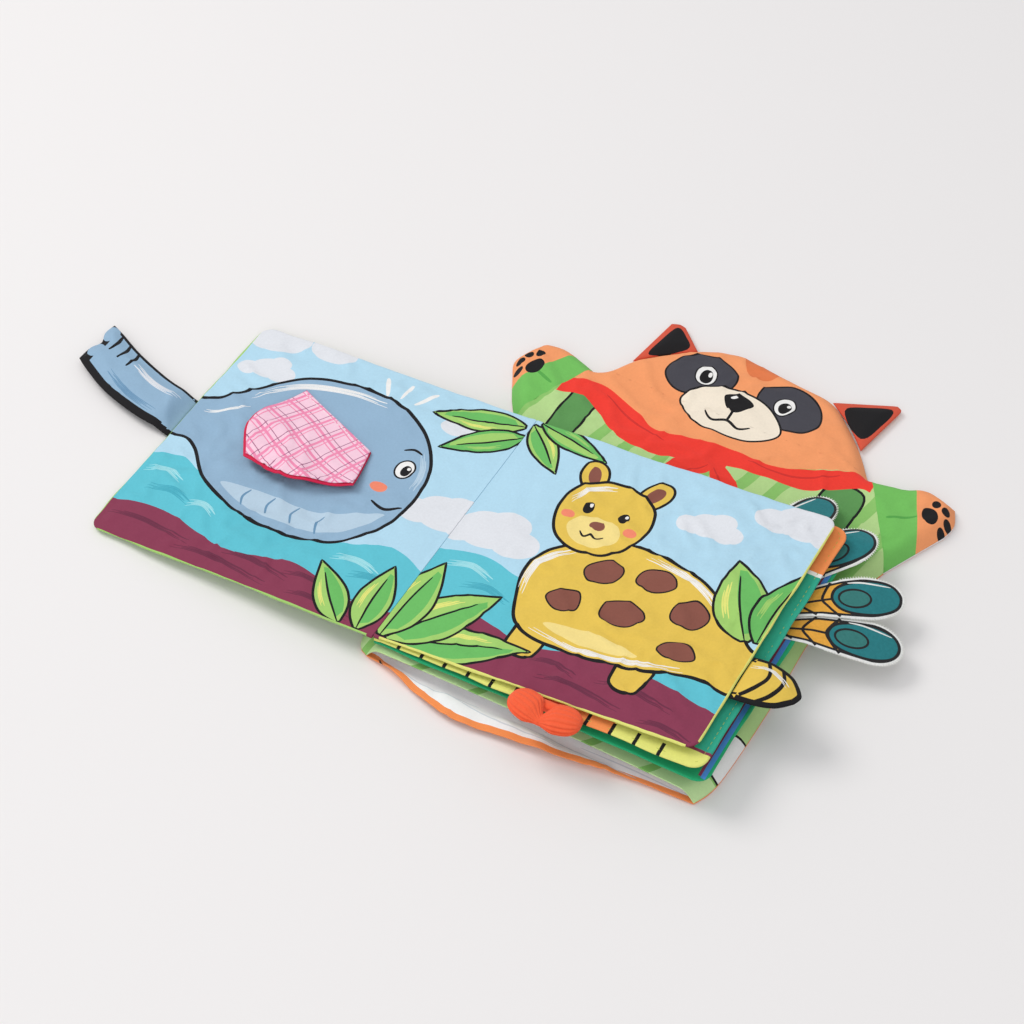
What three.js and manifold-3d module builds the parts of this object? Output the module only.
// A crinkle cloth book sewn to a glove puppet, lying open on a table, in millimetres.
// X runs away from the spine towards the fore edge, Y along the spine towards the head of the
// pages, Z up. The origin is on the table, under the middle of the spine.

import * as THREE from 'three';
import { mergeVertices } from 'three/addons/utils/BufferGeometryUtils.js';
import Module from 'manifold-3d';

const wasm = await Module();
wasm.setup();

// Cloth and sewing
const fit = 0.3;
const cloth = { panel: 0.85, felt: 1, seamBand: 4 };

// The book: reach and half height of a page, spine line and corners
const book = {
  reach: 206,
  half: 100,
  gutter: 0.6,
  gutterHeight: 20,
  slopeLength: 210,
  corner: 8,
  spineCorner: 1.5,
  nesting: 0.4,
};
const pad = { seamHalf: 1, swell: 1.2, swellRun: 30, spineRun: 125 };

// Each leaf: how far it reaches past the first, what its edges fall short of the half height, and
// its height at the slope length
const frontLeaf = { past: 0, lowTrim: 0, spineTrim: 1, highTrim: 0, slopeHeight: 1.7 };
const leaf1 = { past: 0.5, lowTrim: 8, spineTrim: 2, highTrim: 0, slopeHeight: 39.3 };
const leaf2 = { past: 8, lowTrim: 1, spineTrim: 2, highTrim: -1, slopeHeight: 32.7 };
const leaf3 = { past: 12, lowTrim: 0, spineTrim: 2, highTrim: 2, slopeHeight: 23.2 };
const reachOf = (leaf) => book.reach + leaf.past;
const lowOf = (leaf) => book.half - leaf.lowTrim;
const spineLowOf = (leaf) => book.half - leaf.spineTrim;
const highOf = (leaf) => book.half - leaf.highTrim;

// Spine tape
const spine = { left: 4.2, right: 0.2, trim: 12 };

// The glove puppet
const puppet = {
  left: 14,
  bodyWidth: 235,
  hemPast: 1,
  neckPast: 69.5,
  neckLeft: 5,
  neckWidth: 195,
  headHeight: 59,
  headSwell: 2,
  headSwellRun: 30,
  pocket: 11,
  seamTop: 2.15,
  seamRun: 9,
  backCloth: 1,
  lipBow: 5.5,
  backHemDrop: 16.4,
};
const armLeft = { reach: 51, height: 70, belowNeck: 61.5 };
const armRight = { reach: 60, height: 73, belowNeck: 62.5 };
const ear = { swell: 1.6, swellRun: 9, rootHeight: 3, seat: 0.8 };

// Lift-up flap on the front leaf
const flap = { x: 159, y: 19, width: 88, height: 76, cloth: 0.9, clear: 0.5, lift: 7, liftRun: 60 };

// Stuffed tabs at the fore edges
const longTab = {
  low: 13,
  width: 35,
  reach: 88,
  rise: 27,
  swell: 4.2,
  swellRun: 12,
  lift: 3.9,
  liftRun: 14,
};
const ringedTab = { low: 50, width: 33, reach: 35, drop: 3.4, swell: 4, swellRun: 12 };

// Ribbed knit bow on leaf 2
const bow = { x: 119, rootWidth: 16, rootDepth: 11, stub: 6, thickness: 1.1, lift: 0.5 };
const lobe = { spread: 10.5, forward: 10.6, width: 13.5, depth: 9.5, thick: 4.6, raise: 6, leanDegrees: 14 };

// Felt feathers, fanned from one root on leaf 3
const fan = {
  inset: 58,
  y: 0,
  tipRadius: 134,
  rootRadius: 28,
  rootWidth: 6,
  wideRadius: 105,
  wideWidth: 29,
};
const felt = { lift: 0.6, layer: 1.5, layerRun: 8, clearOfEdge: 1.2, level: 6 };
const droopShare = 0.24;
const bluntShare = 0.0345;
const featherShares = [
  { degrees: 77.2, fold: 0.784, tip: 1, upper: 1 },
  { degrees: 60.1, fold: 0.806, tip: 0.985, upper: 0 },
  { degrees: 39.4, fold: 0.642, tip: 0.963, upper: 1 },
  { degrees: 23.2, fold: 0.53, tip: 0.925, upper: 0 },
];

const roughness = { cloth: 0.85, film: 0.35 };
const earUnderShare = 0.5;

// Pieces of curve in outlines, flat panels, seams, and round a lobe of the bow
const steps = { outline: 24, flat: 12, seam: 16, lobe: 20 };

const colours = {
  sky: 0xb9dded,
  leafGreen: 0xa7d173,
  lime: 0xcfd558,
  emerald: 0x2fb583,
  film: 0xe9eef2,
  shirt: 0x8cc66c,
  orange: 0xfb9453,
  head: 0xfba46c,
  ear: 0xd55b43,
  tape: 0x1f9b62,
  plaid: 0xf7b8d3,
  crimson: 0xd31f4a,
  slate: 0x96b6cf,
  black: 0x1d1a20,
  yellow: 0xe5c15e,
  coral: 0xfd7350,
  teal: 0x1b7f93,
  stem: 0xefab3c,
  wadding: 0xf3f1ea,
};

// Grid lines across a four-sided patch, as shares of its sides
const plainShares = [0, 1];
const anchorShares = [0, 0.5, 1];
const leafLineShares = [0, 0.02, 0.092, 0.17, 0.39, 0.61, 0.83, 0.908, 0.98, 1];
const fillingLineShares = [0.13, 0.26, 0.39, 0.61, 0.74, 0.87];
const fillingFromSpineShares = [0.17, 0.39, 0.61, 0.83, 0.908];
const fillingToSpineShares = [0.092, 0.17, 0.39, 0.61, 0.83];
const bodyAcrossShares = [
  0, 0.012, 0.028, 0.05, 0.12, 0.22, 0.3, 1 / 3, 0.346, 0.362, 0.41, 0.5,
  0.59, 0.638, 0.654, 2 / 3, 0.7, 0.78, 0.88, 0.95, 0.972, 0.988, 1,
];
const bodyAlongShares = [0, 0.04, 0.2, 0.4, 0.6, 0.76, 0.87, 0.94, 0.975, 1];
const headAcrossShares = [0, 0.02, 0.06, 0.16, 0.32, 0.5, 0.68, 0.84, 0.94, 0.98, 1];
const headAlongShares = [0, 0.25, 0.5, 0.7, 0.85, 0.95, 1];
const armShares = [0, 0.3, 0.6, 0.82, 0.94, 1];
const armSideShares = [0, 0.06, 0.2, 0.5, 0.8, 0.94, 1];
const earShares = [0, 0.15, 0.35, 0.65, 0.85, 1];
const tabAlongShares = [0, 0.06, 0.16, 0.3, 0.45, 0.6, 0.75, 0.88, 0.96, 1];
const tabAcrossShares = [0, 0.12, 0.3, 0.5, 0.7, 0.88, 1];
const tabCoreAlongShares = [0.16, 0.3, 0.45, 0.6, 0.75, 0.88];
const tabCoreAcrossShares = [0.3, 0.5, 0.7];
const flapShares = [0, 0.05, 0.25, 0.5, 0.75, 0.95, 1];
const stemAlongShares = [0, 0.15, 0.4, 0.7, 1];
const tipAlongShares = [0, 0.3, 0.55, 0.75, 0.88, 0.96, 1];
const featherAcrossShares = [0, 0.3, 0.7, 1];

// Outlines, as shares of the width and height of the piece that they follow
const bodyLeftShares = [[0.043, 0], [0.004, 0.05], [0, 0.3], [0, 0.6], [-0.03, 0.773]];
const bodyRightShares = [[0.962, 0.004], [0.99, 0.08], [1, 0.3], [1, 0.56], [1.068, 0.77]];
const backHemShares = [[0.09, 0.25], [0.29, 1], [0.45, 0.87], [0.66, 0.57], [0.82, 0.2]];
const headLeftShares = [[0, 0], [0.04, 0.09], [0.087, 0.35], [0.154, 0.57]];
const headTopShares = [
  [0.154, 0.57], [0.267, 0.856], [0.385, 1], [0.477, 0.98], [0.62, 0.91], [0.749, 0.856], [0.841, 0.62],
];
const headRightShares = [[1, 0], [0.985, 0.05], [0.923, 0.33], [0.841, 0.62]];
const armLeftRootShares = [[0.51, 0], [0, 0.879]];
const armLeftLowShares = [[0.51, 0], [0.7, 0.2], [0.9, 0.47]];
const armLeftEndShares = [[0.9, 0.47], [1, 0.67], [0.8, 0.97]];
const armLeftHighShares = [[0, 0.879], [0.22, 0.94], [0.5, 1], [0.8, 0.97]];
const armRightRootShares = [[0.617, 0], [0, 0.856]];
const armRightLowShares = [[0.617, 0], [0.79, 0.3], [0.967, 0.603]];
const armRightEndShares = [[0.967, 0.603], [1, 0.76], [0.93, 0.92]];
const armRightHighShares = [[0, 0.856], [0.333, 0.91], [0.6, 1], [0.93, 0.92]];
const earLeftRootShares = [[0.087, 0.35], [0.154, 0.57], [0.267, 0.856]];
const earLeftTipShares = [[0.118, 1.09], [0.145, 1.125], [0.169, 1.11]];
const earRightRootShares = [[0.749, 0.856], [0.841, 0.62], [0.923, 0.33]];
const earRightTipShares = [[0.944, 1.16], [0.962, 1.125], [0.962, 1.06]];
const flapCornerShares = { top: [0.15, 1], right: [0.91, 0.62], bottom: [1, 0.18] };
const flapLowShares = [[0.14, 0.06], [0.4, 0], [0.62, 0], [1, 0.18]];
const flapSideShares = [[0.14, 0.06], [0, 0.34], [0, 0.58], [0.15, 1]];
const tabEndShares = [[1, 0.42], [0.99, 0.6], [0.95, 0.72], [0.985, 0.86], [0.97, 1]];
const tabLowShares = [[0, 0], [0.28, 0.03], [0.62, 0.15], [0.88, 0.32], [1, 0.42]];
const tabHighShares = [[0, 0.56], [0.28, 0.62], [0.62, 0.78], [0.85, 0.93], [0.97, 1]];
const ringedLowShares = [[0, 0], [0.4, 0.09], [0.72, 0.25], [0.95, 0.5]];
const ringedHighShares = [[0, 1], [0.35, 1.06], [0.7, 1], [0.9, 0.84]];
const ringedEndShares = [[0.95, 0.5], [1, 0.68], [0.9, 0.84]];

const clampShare = (value) => Math.min(1, Math.max(0, value));
const ease = (value) => {
  const t = clampShare(value);
  return t * t * (3 - 2 * t);
};
const turn = (value) => Math.sin((Math.PI / 2) * clampShare(value));
const radians = (degrees) => THREE.MathUtils.degToRad(degrees);

// Curves over a side: t from 0 to 1 gives a point
const straight = (from, to) => (t) => from.clone().lerp(to, t);

function smooth(points) {
  const curve = new THREE.SplineCurve(points);
  return (t) => curve.getPoint(t);
}

function polyline(points) {
  const last = points.length - 1;
  return (t) => {
    const step = Math.min(last - 1, Math.floor(t * last));
    return points[step].clone().lerp(points[step + 1], t * last - step);
  };
}

function rectangle(x0, x1, y0, y1) {
  const corner = (x, y) => new THREE.Vector2(x, y);
  return {
    low: straight(corner(x0, y0), corner(x1, y0)),
    high: straight(corner(x0, y1), corner(x1, y1)),
    left: straight(corner(x0, y0), corner(x0, y1)),
    right: straight(corner(x1, y0), corner(x1, y1)),
  };
}

function shared(table, place) {
  return table.map(([across, along]) => place(across, along));
}

// A point inside four sides, each given from its lower or left end
function patchPoint(sides, u, v) {
  const low = sides.low(u);
  const high = sides.high(u);
  const left = sides.left(v);
  const right = sides.right(v);
  const point = low.multiplyScalar(1 - v).add(high.multiplyScalar(v));
  point.add(left.multiplyScalar(1 - u)).add(right.multiplyScalar(u));
  point.addScaledVector(sides.low(0), -(1 - u) * (1 - v));
  point.addScaledVector(sides.low(1), -u * (1 - v));
  point.addScaledVector(sides.high(0), -(1 - u) * v);
  point.addScaledVector(sides.high(1), -u * v);
  return point;
}

// The sides joined into one closed outline
function outlineOf(sides, count = steps.outline) {
  const at = (index) => index / count;
  const points = [];
  const forward = Array.from({ length: count }, (_, i) => at(i));
  const backward = Array.from({ length: count }, (_, i) => at(count - i));
  points.push(...forward.map(sides.low));
  points.push(...forward.map(sides.right));
  points.push(...backward.map(sides.high));
  points.push(...backward.map(sides.left));
  return points;
}

// Distance from a point to an open run of points
function distanceTo(run, x, y) {
  let nearest = Infinity;
  for (let i = 0; i + 1 < run.length; i += 1) {
    const a = run[i];
    const dx = run[i + 1].x - a.x;
    const dy = run[i + 1].y - a.y;
    const t = clampShare(((x - a.x) * dx + (y - a.y) * dy) / (dx * dx + dy * dy));
    nearest = Math.min(nearest, Math.hypot(a.x + t * dx - x, a.y + t * dy - y));
  }
  return nearest;
}

const closedRun = (points) => [...points, points[0]];

// A closed sheet between a lower and an upper height over a patch
function sheet(sides, uShares, vShares, lower, upper) {
  const columns = uShares.length;
  const rows = vShares.length;
  const positions = [];
  for (const height of [upper, lower]) {
    for (const v of vShares) {
      for (const u of uShares) {
        const p = patchPoint(sides, u, v);
        positions.push(p.x, p.y, height(p.x, p.y));
      }
    }
  }
  const index = [];
  const under = columns * rows;
  const at = (column, row) => row * columns + column;
  for (let row = 0; row + 1 < rows; row += 1) {
    for (let column = 0; column + 1 < columns; column += 1) {
      const a = at(column, row);
      const b = at(column + 1, row);
      const c = at(column + 1, row + 1);
      const d = at(column, row + 1);
      index.push(a, b, c, a, c, d);
      index.push(under + a, under + c, under + b, under + a, under + d, under + c);
    }
  }
  const count = (length, place) => Array.from({ length: length - 1 }, (_, i) => place(i));
  const rim = [
    ...count(columns, (i) => at(i, 0)),
    ...count(rows, (i) => at(columns - 1, i)),
    ...count(columns, (i) => at(columns - 1 - i, rows - 1)),
    ...count(rows, (i) => at(0, rows - 1 - i)),
  ];
  rim.forEach((a, i) => {
    const b = rim[(i + 1) % rim.length];
    index.push(under + a, under + b, b, under + a, b, a);
  });
  const geometry = new THREE.BufferGeometry();
  geometry.setAttribute('position', new THREE.Float32BufferAttribute(positions, 3));
  geometry.setIndex(index);
  return geometry;
}

const model = new THREE.Group();

function add(name, geometry, color, rough = roughness.cloth) {
  geometry.computeVertexNormals();
  const material = new THREE.MeshStandardMaterial({ color, roughness: rough, metalness: 0 });
  const mesh = new THREE.Mesh(geometry, material);
  mesh.name = name;
  model.add(mesh);
  return mesh;
}

// The side of a leaf with half of a rounded corner at each end
function leafSide(from, to, inwardFrom, inwardTo, radiusFrom, radiusTo) {
  const path = new THREE.CurvePath();
  const run = to.clone().sub(from).normalize();
  const half = (corner, way, inward, radius) => {
    const bite = radius * (1 - Math.SQRT1_2);
    const bend = radius * (Math.SQRT2 - 1) + bite * (1 - Math.SQRT1_2);
    const along = (length) => corner.clone().addScaledVector(way, length);
    return [along(bite).addScaledVector(inward, bite), along(bend), along(radius)];
  };
  const [start, firstBend, first] = half(from, run, inwardFrom, radiusFrom);
  const [end, lastBend, last] = half(to, run.clone().negate(), inwardTo, radiusTo);
  path.add(new THREE.QuadraticBezierCurve(start, firstBend, first));
  path.add(new THREE.LineCurve(first, last));
  path.add(new THREE.QuadraticBezierCurve(last, lastBend, end));
  return (t) => path.getPointAt(t);
}

function leafSides(leaf, direction) {
  const inner = direction * book.gutter;
  const outer = direction * reachOf(leaf);
  const lowInner = new THREE.Vector2(inner, -spineLowOf(leaf));
  const lowOuter = new THREE.Vector2(outer, -lowOf(leaf));
  const highInner = new THREE.Vector2(inner, highOf(leaf));
  const highOuter = new THREE.Vector2(outer, highOf(leaf));
  const up = new THREE.Vector2(0, 1);
  const down = new THREE.Vector2(0, -1);
  const toOuter = new THREE.Vector2(direction, 0);
  const toInner = new THREE.Vector2(-direction, 0);
  const tight = book.spineCorner;
  const wide = book.corner;
  const low = leafSide(lowInner, lowOuter, up, up, tight, wide);
  const high = leafSide(highInner, highOuter, down, down, tight, wide);
  const spineSide = leafSide(lowInner, highInner, toOuter, toOuter, tight, tight);
  const foreSide = leafSide(lowOuter, highOuter, toInner, toInner, wide, wide);
  if (direction > 0) return { low, high, left: spineSide, right: foreSide };
  const reversed = (side) => (t) => side(1 - t);
  return { low: reversed(low), high: reversed(high), left: foreSide, right: spineSide };
}

// Heights of a leaf: middle of the padding, half of its thickness and the room inside
function leafForm(leaf, direction, order) {
  const sides = leafSides(leaf, direction);
  const run = closedRun(outlineOf(sides));
  const spineMiddle = book.gutterHeight - pad.seamHalf - order * (2 * pad.seamHalf + book.nesting);
  const slope = (leaf.slopeHeight - spineMiddle) / book.slopeLength;
  const middle = (x) => spineMiddle + slope * Math.abs(x);
  const swell = (x, y) => {
    const fromSeam = ease((distanceTo(run, x, y) - cloth.seamBand) / pad.swellRun);
    return pad.swell * fromSeam * clampShare(Math.abs(x) / pad.spineRun);
  };
  return {
    sides,
    direction,
    middle,
    top: (x, y) => middle(x) + pad.seamHalf + swell(x, y),
    bottom: (x, y) => middle(x) - pad.seamHalf - swell(x, y),
    roomTop: (x, y) => middle(x) + fit / 2 + swell(x, y),
    roomBottom: (x, y) => middle(x) - fit / 2 - swell(x, y),
  };
}

function addLeaf(prefix, topName, bottomName, form, topColour, bottomColour) {
  const lines = leafLineShares;
  add(`${prefix}_${topName}`, sheet(form.sides, lines, lines, form.roomTop, form.top), topColour);
  const under = sheet(form.sides, lines, lines, form.bottom, form.roomBottom);
  add(`${prefix}_${bottomName}`, under, bottomColour);
  const across = form.direction > 0 ? fillingFromSpineShares : fillingToSpineShares;
  const floor = (x, y) => form.roomBottom(x, y) + fit;
  const ceiling = (x, y) => form.roomTop(x, y) - fit;
  const film = sheet(form.sides, across, fillingLineShares, floor, ceiling);
  add(`${prefix}_crinkle_film`, film, colours.film, roughness.film);
}

const frontForm = leafForm(frontLeaf, -1, 0);
const leaf1Form = leafForm(leaf1, 1, 0);
const leaf2Form = leafForm(leaf2, 1, 1);
const leaf3Form = leafForm(leaf3, 1, 2);

// Puppet outline
const hem = book.half + puppet.hemPast;
const neck = book.half + puppet.neckPast;
const bodyHeight = neck + hem;
const onBody = (across, along) => new THREE.Vector2(
  -puppet.left + across * puppet.bodyWidth,
  -hem + along * bodyHeight,
);
const onHead = (across, along) => new THREE.Vector2(
  puppet.neckLeft + across * puppet.neckWidth,
  neck + along * puppet.headHeight,
);
const onLeftArm = (across, along) => new THREE.Vector2(
  puppet.neckLeft - across * armLeft.reach,
  neck - armLeft.belowNeck + along * armLeft.height,
);
const onRightArm = (across, along) => new THREE.Vector2(
  puppet.neckLeft + puppet.neckWidth + across * armRight.reach,
  neck - armRight.belowNeck + along * armRight.height,
);

function bodySides(hemOf) {
  const leftPoints = shared(bodyLeftShares, onBody);
  const rightPoints = shared(bodyRightShares, onBody);
  const shoulders = [
    onLeftArm(...armLeftRootShares[0]), onHead(0, 0), onHead(1, 0), onRightArm(...armRightRootShares[0]),
  ];
  leftPoints[leftPoints.length - 1] = shoulders[0].clone();
  rightPoints[rightPoints.length - 1] = shoulders[3].clone();
  return {
    low: hemOf(leftPoints[0], rightPoints[0]),
    high: polyline(shoulders),
    left: smooth(leftPoints),
    right: smooth(rightPoints),
  };
}

function headSides() {
  return {
    low: straight(onHead(0, 0), onHead(1, 0)),
    high: smooth(shared(headTopShares, onHead)),
    left: smooth(shared(headLeftShares, onHead)),
    right: smooth(shared(headRightShares, onHead)),
  };
}

// An arm's patch runs from its root line outward
function armSides(place, root, low, end, high) {
  const rootPoints = shared(root, place);
  return {
    left: straight(rootPoints[0], rootPoints[1]),
    low: smooth(shared(low, place)),
    high: smooth(shared(high, place)),
    right: smooth(shared(end, place)),
  };
}

const leftArmSides = armSides(
  onLeftArm, armLeftRootShares, armLeftLowShares, armLeftEndShares, armLeftHighShares,
);
const rightArmSides = armSides(
  onRightArm, armRightRootShares, armRightLowShares, armRightEndShares, armRightHighShares,
);

// The upper lip is drawn in, and the lower one sags out
function lipHem(start, end) {
  const middle = start.clone().lerp(end, 0.5);
  middle.y += 2 * puppet.lipBow;
  const curve = new THREE.QuadraticBezierCurve(start, middle, end);
  return (t) => curve.getPoint(t);
}

function backHem(start, end) {
  const between = ([along, drop]) => {
    const point = start.clone().lerp(end, along);
    point.y -= puppet.backHemDrop * drop;
    return point;
  };
  return smooth([start, ...backHemShares.map(between), end]);
}

const puppetFront = bodySides(lipHem);
const puppetBack = bodySides(backHem);
const head = headSides();

function sampled(side, count = steps.seam) {
  return Array.from({ length: count + 1 }, (_, i) => side(i / count));
}

// The sewn edge of the puppet, from the left end of the hem round to the right end
const puppetSeam = [
  ...sampled(puppetFront.left),
  ...sampled(leftArmSides.low),
  ...sampled(leftArmSides.right),
  ...sampled(leftArmSides.high).reverse(),
  ...sampled(head.left),
  ...sampled(head.high),
  ...sampled(head.right).reverse(),
  ...sampled(rightArmSides.high),
  ...sampled(rightArmSides.right).reverse(),
  ...sampled(rightArmSides.low).reverse(),
  ...sampled(puppetFront.right).reverse(),
].filter((point, i, all) => i === 0 || point.distanceTo(all[i - 1]) > fit);

function puppetTop(x, y) {
  const inside = distanceTo(puppetSeam, x, y);
  const face = puppet.headSwell * ease((y - neck) / puppet.headSwellRun);
  const crown = face * ease(inside / puppet.headSwellRun);
  return puppet.seamTop + (puppet.pocket - puppet.seamTop) * turn(inside / puppet.seamRun) + crown;
}

const puppetInside = (x, y) => puppetTop(x, y) - cloth.panel;

// A patch moved back from its neighbour across a fold by half of the sewing gap
function shiftedSides(sides, x, y) {
  const moved = (side) => (t) => side(t).add(new THREE.Vector2(x, y));
  return {
    low: moved(sides.low),
    high: moved(sides.high),
    left: moved(sides.left),
    right: moved(sides.right),
  };
}

function flatPanel(sides, thickness) {
  const shape = new THREE.Shape(outlineOf(sides, steps.flat));
  return new THREE.ExtrudeGeometry(shape, { depth: thickness, bevelEnabled: false, steps: 1 });
}

function addPuppetPiece(name, sides, uShares, vShares, frontColour, backColour) {
  add(`${name}_front`, sheet(sides, uShares, vShares, puppetInside, puppetTop), frontColour);
  add(`${name}_back`, flatPanel(sides, puppet.backCloth), backColour);
}

add(
  'puppet_body_front',
  sheet(puppetFront, bodyAcrossShares, bodyAlongShares, puppetInside, puppetTop),
  colours.shirt,
);
add('puppet_body_back', flatPanel(puppetBack, puppet.backCloth), colours.orange);

const headClear = shiftedSides(head, 0, fit);
addPuppetPiece('puppet_head', headClear, headAcrossShares, headAlongShares, colours.head, colours.orange);

function mirroredGrid(sides) {
  return {
    low: sides.high,
    high: sides.low,
    left: (t) => sides.left(1 - t),
    right: (t) => sides.right(1 - t),
  };
}

const leftArmClear = shiftedSides(mirroredGrid(leftArmSides), -fit, fit / 2);
const rightArmClear = shiftedSides(rightArmSides, fit, fit / 2);
addPuppetPiece('arm_left', leftArmClear, armShares, armSideShares, colours.shirt, colours.orange);
addPuppetPiece('arm_right', rightArmClear, armShares, armSideShares, colours.shirt, colours.orange);

// Ears: the root follows the head seam, and two sides run to the tip
function earSides(rootTable, tipTable) {
  const root = shared(rootTable, onHead);
  const tip = shared(tipTable, onHead);
  const run = root[root.length - 1].clone().sub(root[0]);
  const away = new THREE.Vector2(-run.y, run.x).normalize().multiplyScalar(ear.seat);
  root.forEach((point) => point.add(away));
  return {
    low: smooth(root),
    high: smooth(tip),
    left: straight(root[0], tip[0]),
    right: straight(root[root.length - 1], tip[tip.length - 1]),
  };
}

function addEar(name, rootTable, tipTable) {
  const sides = earSides(rootTable, tipTable);
  const run = closedRun(outlineOf(sides));
  const swell = (x, y) => ear.swell * ease(distanceTo(run, x, y) / ear.swellRun);
  const middle = ear.rootHeight;
  const top = (x, y) => middle + pad.seamHalf + swell(x, y);
  const bottom = (x, y) => middle - pad.seamHalf - swell(x, y) * earUnderShare;
  add(name, sheet(sides, earShares, earShares, bottom, top), colours.ear);
}

addEar('ear_left', earLeftRootShares, earLeftTipShares);
addEar('ear_right', earRightRootShares, earRightTipShares);

// Leaves
addLeaf('front_leaf', 'inner_panel', 'outer_panel', frontForm, colours.sky, colours.leafGreen);
addLeaf('leaf_1', 'top_panel', 'bottom_panel', leaf1Form, colours.sky, colours.lime);
addLeaf('leaf_2', 'top_panel', 'bottom_panel', leaf2Form, colours.lime, colours.emerald);
addLeaf('leaf_3', 'top_panel', 'bottom_panel', leaf3Form, colours.emerald, colours.emerald);

// Spine tape between the puppet and the gutter
function addSpine() {
  const halfLength = book.half - spine.trim;
  const sides = rectangle(-spine.left, spine.right, -halfLength, halfLength);
  const floor = () => puppet.pocket + fit;
  const ceiling = () => frontForm.middle(spine.left) - pad.seamHalf - fit;
  add('spine_binding', sheet(sides, plainShares, plainShares, floor, ceiling), colours.tape);
}

addSpine();

// Lift-up flap: the sewn edge is its upper side
function flapSides() {
  const place = (across, along) => new THREE.Vector2(
    -flap.x + across * flap.width,
    -flap.y + along * flap.height,
  );
  const corner = flapCornerShares;
  return {
    low: smooth(shared(flapLowShares, place)),
    high: straight(place(...corner.top), place(...corner.right)),
    left: smooth(shared(flapSideShares, place)),
    right: straight(place(...corner.bottom), place(...corner.right)),
  };
}

function addFlap() {
  const sides = flapSides();
  const sewn = sampled(sides.high, 1);
  const rise = (x, y) => flap.lift * ease(distanceTo(sewn, x, y) / flap.liftRun);
  const backLow = (x, y) => frontForm.top(x, y) + fit + flap.clear + rise(x, y);
  const backTop = (x, y) => backLow(x, y) + flap.cloth;
  const faceLow = (x, y) => backTop(x, y) + fit;
  const faceTop = (x, y) => faceLow(x, y) + flap.cloth;
  add('flap_backing', sheet(sides, flapShares, flapShares, backLow, backTop), colours.crimson);
  add('flap_face', sheet(sides, flapShares, flapShares, faceLow, faceTop), colours.plaid);
}

addFlap();

// A stuffed tab: two covers and a filling
function addTab(name, sides, middle, form, colour) {
  const run = closedRun(outlineOf(sides));
  const swell = (x, y) => form.swell * ease(distanceTo(run, x, y) / form.swellRun);
  const top = (x, y) => middle(x, y) + pad.seamHalf + swell(x, y);
  const bottom = (x, y) => middle(x, y) - pad.seamHalf - swell(x, y);
  const roomTop = (x, y) => middle(x, y) + fit / 2 + swell(x, y);
  const roomBottom = (x, y) => middle(x, y) - fit / 2 - swell(x, y);
  const u = tabAlongShares;
  const v = tabAcrossShares;
  add(`${name}_top`, sheet(sides, u, v, roomTop, top), colour);
  add(`${name}_bottom`, sheet(sides, u, v, bottom, roomBottom), colours.black);
  const floor = (x, y) => roomBottom(x, y) + fit;
  const ceiling = (x, y) => roomTop(x, y) - fit;
  const filling = sheet(sides, tabCoreAlongShares, tabCoreAcrossShares, floor, ceiling);
  add(`${name}_filling`, filling, colours.wadding);
}

function addLongTab() {
  const root = -reachOf(frontLeaf) - fit;
  const place = (across, along) => new THREE.Vector2(
    root - across * longTab.reach,
    -longTab.low + along * (longTab.width + longTab.rise),
  );
  const outward = {
    low: smooth(shared(tabHighShares, place)),
    high: smooth(shared(tabLowShares, place)),
    left: straight(place(...tabHighShares[0]), place(...tabLowShares[0])),
    right: (t) => smooth(shared(tabEndShares, place))(1 - t),
  };
  const seamHeight = frontForm.middle(reachOf(frontLeaf));
  const middle = (x) => seamHeight + longTab.lift * ease((root - x) / longTab.liftRun);
  addTab('long_tab', outward, middle, longTab, colours.slate);
}

addLongTab();

function addRingedTab() {
  const root = reachOf(leaf1) + fit;
  const place = (across, along) => new THREE.Vector2(
    root + across * ringedTab.reach,
    -ringedTab.low + along * ringedTab.width,
  );
  const sides = {
    low: smooth(shared(ringedLowShares, place)),
    high: smooth(shared(ringedHighShares, place)),
    left: straight(place(...ringedLowShares[0]), place(...ringedHighShares[0])),
    right: smooth(shared(ringedEndShares, place)),
  };
  const middle = (x) => leaf1Form.middle(reachOf(leaf1)) - ringedTab.drop * ease((x - root) / ringedTab.reach);
  addTab('ringed_tab', sides, middle, ringedTab, colours.yellow);
}

addRingedTab();

function solid(geometry) {
  geometry.deleteAttribute('normal');
  geometry.deleteAttribute('uv');
  const welded = mergeVertices(geometry);
  return new wasm.Manifold(new wasm.Mesh({
    numProp: 3,
    vertProperties: new Float32Array(welded.attributes.position.array),
    triVerts: new Uint32Array(welded.index.array),
  }));
}

function toGeometry(manifold) {
  const mesh = manifold.getMesh();
  const geometry = new THREE.BufferGeometry();
  geometry.setAttribute('position', new THREE.Float32BufferAttribute(mesh.vertProperties, 3));
  geometry.setIndex(Array.from(mesh.triVerts));
  return geometry;
}

// Knit bow: an anchor sewn to leaf 2 and two joined lobes in front of leaf 1's edge
function bowLobe(side, base, front) {
  const geometry = new THREE.SphereGeometry(1, steps.lobe, steps.lobe / 2);
  geometry.scale(lobe.width, lobe.depth, lobe.thick);
  geometry.rotateZ(side * radians(lobe.leanDegrees));
  geometry.translate(bow.x + side * lobe.spread, front - lobe.forward, base + lobe.raise);
  return solid(geometry);
}

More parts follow.
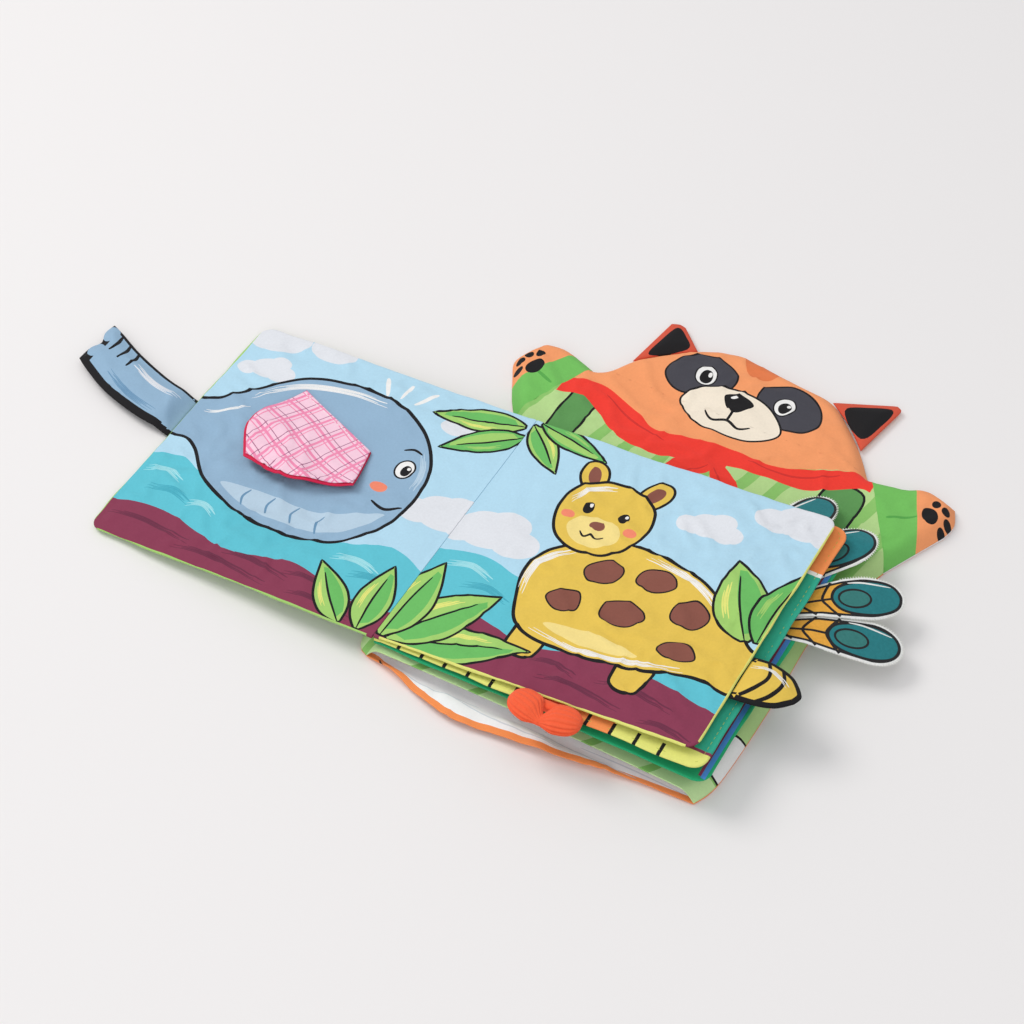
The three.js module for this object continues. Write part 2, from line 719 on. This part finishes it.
function addBow() {
  const leftmost = bow.x - lobe.spread - lobe.width;
  const alongEdge = leftmost / reachOf(leaf1);
  const edge = THREE.MathUtils.lerp(spineLowOf(leaf1), lowOf(leaf1), alongEdge);
  const front = -edge - 2 * fit;
  const left = bow.x - bow.rootWidth / 2;
  const right = bow.x + bow.rootWidth / 2;
  const floor = (x, y) => leaf2Form.top(x, y) + bow.lift;
  const ceiling = (x, y) => floor(x, y) + bow.thickness;
  const anchor = rectangle(left, right, front, front + bow.rootDepth);
  add('knit_bow_anchor', sheet(anchor, anchorShares, anchorShares, floor, ceiling), colours.coral);
  const stubSides = rectangle(left, right, front - fit - bow.stub, front - fit);
  const stubTop = (x, y) => floor(x, y) + lobe.raise;
  const stub = solid(sheet(stubSides, plainShares, plainShares, floor, stubTop));
  const base = floor(bow.x, front - fit);
  const lobes = bowLobe(-1, base, front).add(bowLobe(1, base, front));
  add('knit_bow', toGeometry(lobes.add(stub)), colours.coral);
}

addBow();

// Feathers
const fanX = reachOf(leaf3) - fan.inset;

function featherHalfWidth(radius, feather) {
  const growth = (fan.wideWidth - fan.rootWidth) / (fan.wideRadius - fan.rootRadius);
  const width = fan.rootWidth + growth * (radius - fan.rootRadius);
  const round = Math.max(0, (radius - fan.wideRadius) / (feather.tip * fan.tipRadius - fan.wideRadius));
  const wide = Math.min(width, fan.wideWidth);
  return (wide / 2) * Math.sqrt(Math.max(0, 1 - round * round));
}

function featherPatch(feather, from, to) {
  const angle = radians(feather.degrees);
  const along = new THREE.Vector2(Math.cos(angle), Math.sin(angle));
  const across = new THREE.Vector2(-along.y, along.x);
  const root = new THREE.Vector2(fanX, fan.y);
  const place = (radius, offset) => {
    const point = root.clone().addScaledVector(along, radius);
    return point.addScaledVector(across, offset);
  };
  const edge = (side) => (t) => {
    const radius = THREE.MathUtils.lerp(from, to, t);
    return place(radius, side * featherHalfWidth(radius, feather));
  };
  const low = edge(-1);
  const high = edge(1);
  return { low, high, left: straight(low(0), high(0)), right: straight(low(1), high(1)) };
}

// Top of leaf 3, carried on level past its edges
function leaf3Ground(x, y) {
  const inX = Math.min(x, reachOf(leaf3) - felt.clearOfEdge);
  const inY = Math.min(y, highOf(leaf3) - felt.clearOfEdge);
  return leaf3Form.top(inX, inY);
}

function featherFloor(feather) {
  return (x, y) => {
    const radius = Math.hypot(x - fanX, y - fan.y);
    const overX = Math.max(0, x - reachOf(leaf3) - felt.level);
    const overY = Math.max(0, y - highOf(leaf3) - felt.level);
    const droop = droopShare * Math.hypot(overX, overY);
    const layer = feather.upper * felt.layer * ease((radius - fan.rootRadius) / felt.layerRun);
    return leaf3Ground(x, y) + felt.lift + layer - droop;
  };
}

function addFeather(feather, index) {
  const floor = featherFloor(feather);
  const ceiling = (x, y) => floor(x, y) + cloth.felt;
  const fold = feather.fold * fan.tipRadius;
  const reach = feather.tip * fan.tipRadius;
  const stem = featherPatch(feather, fan.rootRadius, fold - fit / 2);
  const end = reach - (reach - fan.wideRadius) * bluntShare;
  const tip = featherPatch(feather, fold + fit / 2, end);
  const across = featherAcrossShares;
  add(`feather_${index}_stem`, sheet(stem, stemAlongShares, across, floor, ceiling), colours.stem);
  add(`feather_${index}_tip`, sheet(tip, tipAlongShares, across, floor, ceiling), colours.teal);
}

featherShares.forEach(addFeather);

export default model;
